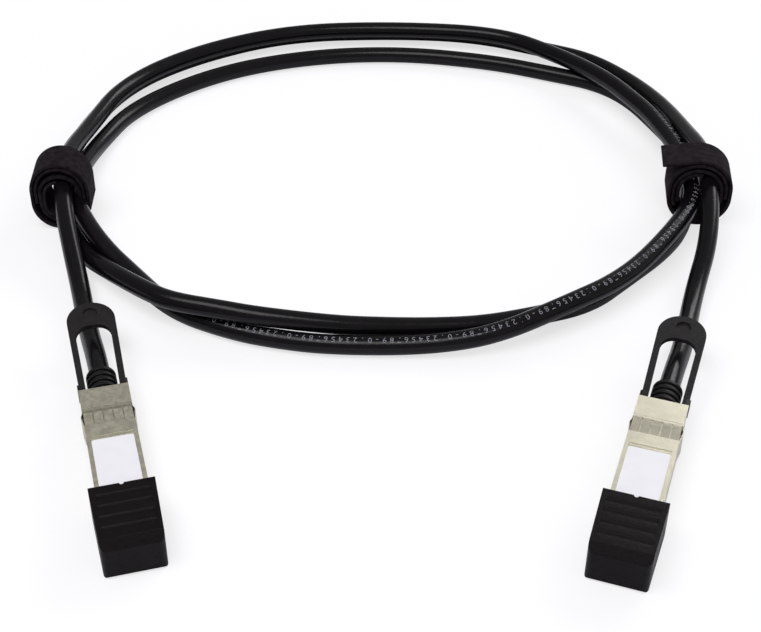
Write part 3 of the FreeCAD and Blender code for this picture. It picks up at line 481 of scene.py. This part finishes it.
# name, place, turn, radius, first and last angle, heights of the lower and the upper half
INNER_TURNS = (
    ("strap_start_left", LEFT_TIE, LEFT_TURN, 0.0068, -25, 250, 0.0092, 0.0130),
    ("strap_end_left", LEFT_TIE, LEFT_TURN, 0.0056, 95, 240, 0.0090, 0.0122),
    ("strap_start_right", RIGHT_TIE, RIGHT_TURN, 0.0081, -60, 205, 0.0100, 0.0125),
    ("strap_end_right", RIGHT_TIE, RIGHT_TURN, 0.0067, 80, 195, 0.0100, 0.0125),
)
for inner in INNER_TURNS:
    straps.append(inner_turn(*inner))
bpy.ops.object.select_all(action="DESELECT")
straps[0].select_set(True)
bpy.context.view_layer.objects.active = straps[0]
bpy.ops.object.mode_set(mode="EDIT")
bpy.ops.mesh.select_all(action="SELECT")
bpy.ops.transform.resize(value=(TIGHT, 1.0, 1.0), center_override=TIGHT_ABOUT)
bpy.ops.transform.translate(value=(TIGHT_SHIFT, 0, 0))
bpy.ops.object.mode_set(mode="OBJECT")

# ---- Table ------------------------------------------------------------------------------------
# A plain matte white table. Its own white takes over from the lamps' light further out, so it
# stays white to its edge, and it throws none of that white on the object.
TABLE_SPAN = 8.0
TABLE_DROP = 0.0002              # under the cable, which rests at height 0
MIDDLE = (0.0, 0.09, 0.0)        # of the object, on the table
LIT_NEAR, LIT_FAR = 0.16, 0.60   # from the middle: the share of own white grows between these
OWN_WHITE = 0.66                 # the share at the middle
bpy.ops.mesh.primitive_plane_add(size=TABLE_SPAN, location=(0, 0, -TABLE_DROP))
table = bpy.context.object
table.name = "table"
table_white = bpy.data.materials.new("table_white")
table_white.use_nodes = True
tree = table_white.node_tree
tree.nodes.clear()
surface = tree.nodes.new("ShaderNodeOutputMaterial")
matte = tree.nodes.new("ShaderNodeBsdfDiffuse")
matte.inputs["Color"].default_value = (0.88, 0.87, 0.92, 1.0)
glow = tree.nodes.new("ShaderNodeEmission")
glow.inputs["Color"].default_value = (1.0, 1.0, 1.0, 1.0)
glow.inputs["Strength"].default_value = 1.05
on_table = tree.nodes.new("ShaderNodeTexCoord")
span = tree.nodes.new("ShaderNodeVectorMath")
span.operation = "DISTANCE"
span.inputs[1].default_value = MIDDLE
fade = tree.nodes.new("ShaderNodeMapRange")
fade.inputs["From Min"].default_value = LIT_NEAR
fade.inputs["From Max"].default_value = LIT_FAR
fade.inputs["To Min"].default_value = OWN_WHITE
fade.inputs["To Max"].default_value = 1.0
rays = tree.nodes.new("ShaderNodeLightPath")
seen = tree.nodes.new("ShaderNodeMath")
seen.operation = "MULTIPLY"
blend = tree.nodes.new("ShaderNodeMixShader")
for output, socket in (
        (on_table.outputs["Object"], span.inputs[0]),
        (span.outputs["Value"], fade.inputs["Value"]),
        (rays.outputs["Is Camera Ray"], seen.inputs[0]),
        (fade.outputs["Result"], seen.inputs[1]),
        (seen.outputs[0], blend.inputs[0]),
        (matte.outputs[0], blend.inputs[1]),
        (glow.outputs[0], blend.inputs[2]),
        (blend.outputs[0], surface.inputs["Surface"])):
    tree.links.new(output, socket)
table.data.materials.append(table_white)

# ---- Room and lamps ---------------------------------------------------------------------------
# A pale room that is darker to the left, and white where the camera sees it. A wide lamp stands
# behind the coil on the right, and a wider one hangs over the front.
ROOM_LEFT, ROOM_RIGHT = 0.24, 0.50
room = bpy.data.worlds.new("room")
scene.world = room
room.use_nodes = True
tree = room.node_tree
walls = tree.nodes["Background"]
compass = tree.nodes.new("ShaderNodeTexCoord")
split = tree.nodes.new("ShaderNodeSeparateXYZ")
shade = tree.nodes.new("ShaderNodeMapRange")
shade.inputs["From Min"].default_value = -0.8
shade.inputs["From Max"].default_value = 0.8
shade.inputs["To Min"].default_value = ROOM_LEFT
shade.inputs["To Max"].default_value = ROOM_RIGHT
room_rays = tree.nodes.new("ShaderNodeLightPath")
behind = tree.nodes.new("ShaderNodeMath")
behind.operation = "MAXIMUM"
for output, socket in (
        (compass.outputs["Generated"], split.inputs["Vector"]),
        (split.outputs["X"], shade.inputs["Value"]),
        (shade.outputs["Result"], behind.inputs[0]),
        (room_rays.outputs["Is Camera Ray"], behind.inputs[1]),
        (behind.outputs[0], walls.inputs["Color"])):
    tree.links.new(output, socket)

# place, length, depth and power of each lamp
LAMPS = (((0.62, 0.80, 0.62), 0.75, 0.35, 4.0),
         ((-0.25, -0.25, 0.95), 0.8, 0.5, 7.0))
for place, length, depth, power in LAMPS:
    bpy.ops.object.light_add(type="AREA", location=place)
    lamp = bpy.context.object
    lamp.data.shape = "RECTANGLE"
    lamp.data.size = length
    lamp.data.size_y = depth
    lamp.data.energy = power
    lamp.rotation_euler = (Vector(MIDDLE) - lamp.location).to_track_quat("-Z", "Y").to_euler()

scene.view_settings.view_transform = "Standard"
